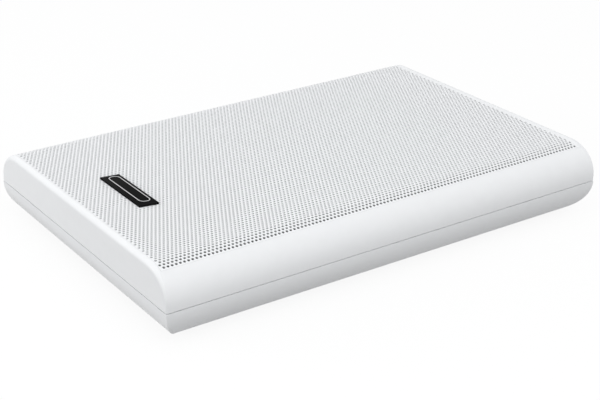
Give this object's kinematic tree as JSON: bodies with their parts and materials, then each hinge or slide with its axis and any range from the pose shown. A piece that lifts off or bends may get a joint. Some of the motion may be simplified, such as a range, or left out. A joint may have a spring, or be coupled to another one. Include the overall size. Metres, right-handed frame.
{
  "type": "wall speaker",
  "caption": "Flat white wall speaker with round long sides, a flush perforated grille with a small badge, a slim driver inside, and keyhole hangers and a terminal on its back.",
  "frame": {"origin": "middle of the flat back face", "axes": "+Z out of the grille, +Y towards the top when hung, +X to the right seen from the front"},
  "size_m": [0.196, 0.3, 0.0451],
  "materials": {
    "case_plastic": "fine mould texture, white",
    "grille_paint": "white powder coat, semi-matt",
    "grille_cloth": "black acoustic cloth",
    "badge_black": "satin black with a thin silver outline",
    "frame_paint": "black paint, satin",
    "gasket_rubber": "black rubber, matt",
    "screw_zinc": "zinc plated",
    "plate_steel": "zinc plated, satin",
    "ferrite": "dark grey ferrite, matt",
    "coil_former": "aluminium former with lacquered winding",
    "cone_paper": "black pulp paper, matt",
    "cap_cloth": "black doped cloth",
    "surround_rubber": "black rubber, satin",
    "spider_cloth": "resin-dipped cloth, yellow-brown",
    "tag_board": "phenolic board, brown",
    "tinned_brass": "tinned brass",
    "tinsel": "braided copper tinsel",
    "terminal_plastic": "black, fine texture",
    "wire_red": "red insulation",
    "wire_black": "black insulation"
  },
  "bodies": {
    "case": {"front_cover": "case_plastic", "rear_cover": "case_plastic", "cover_screws": "screw_zinc", "grille": "grille_paint", "grille_cloth": "grille_cloth", "badge": "badge_black", "driver_frame": "frame_paint", "driver_gasket": "gasket_rubber", "driver_screws": "screw_zinc", "top_plate": "plate_steel", "magnet": "ferrite", "back_plate": "plate_steel", "surround": "surround_rubber", "spider": "spider_cloth", "tag_strip": "tag_board", "solder_tags": "tinned_brass", "tinsel_leads": "tinsel", "terminal_block": "terminal_plastic", "terminal_screws": "screw_zinc", "terminal_lugs": "tinned_brass", "wire_positive": "wire_red", "wire_negative": "wire_black"},
    "diaphragm": {"cone": "cone_paper", "whizzer_cone": "cone_paper", "dust_cap": "cap_cloth", "voice_coil": "coil_former"}
  },
  "joints": [
    {"name": "diaphragm_travel", "type": "slide", "parent": "case", "child": "diaphragm", "axis": [0, 0, 1], "range_m": [-0.002, 0.002], "stiffness_N_per_m": 1500, "deforming": ["surround", "spider", "tinsel_leads"]}
  ]
}
